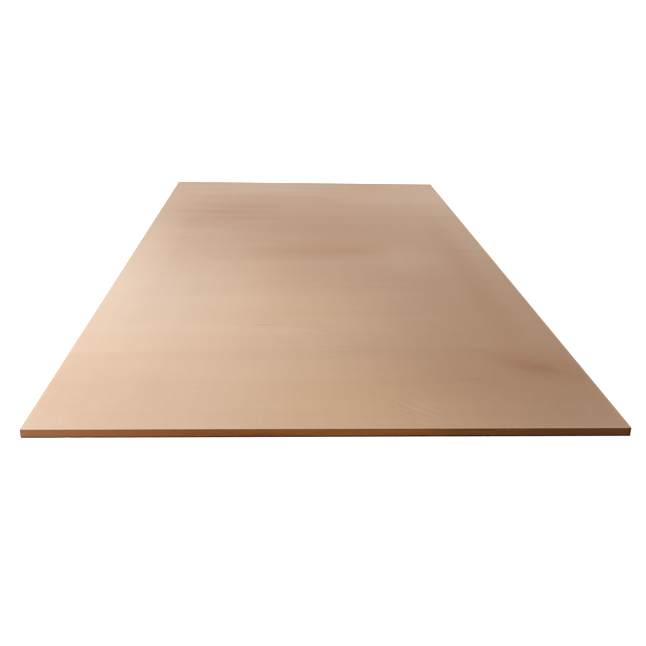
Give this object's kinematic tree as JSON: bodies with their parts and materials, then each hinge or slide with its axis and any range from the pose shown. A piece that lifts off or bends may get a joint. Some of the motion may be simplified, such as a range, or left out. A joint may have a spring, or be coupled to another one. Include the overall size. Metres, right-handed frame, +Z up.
{
  "type": "medium density fiberboard sheet",
  "caption": "Flat rectangular fibreboard panel with sanded faces, square sawn edges, eased arrises and slightly blunted corners, lying on its lower face as raw stock.",
  "frame": {"origin": "centre of the lower face, on the level that the sheet lies on", "axes": "+X across the sheet's width, +Y along its length, +Z up through its thickness"},
  "size_m": [1.22, 2.44, 0.019],
  "materials": {
    "mdf": "matte"
  },
  "bodies": {
    "root": {"mdf_sheet": "mdf"}
  },
  "joints": []
}
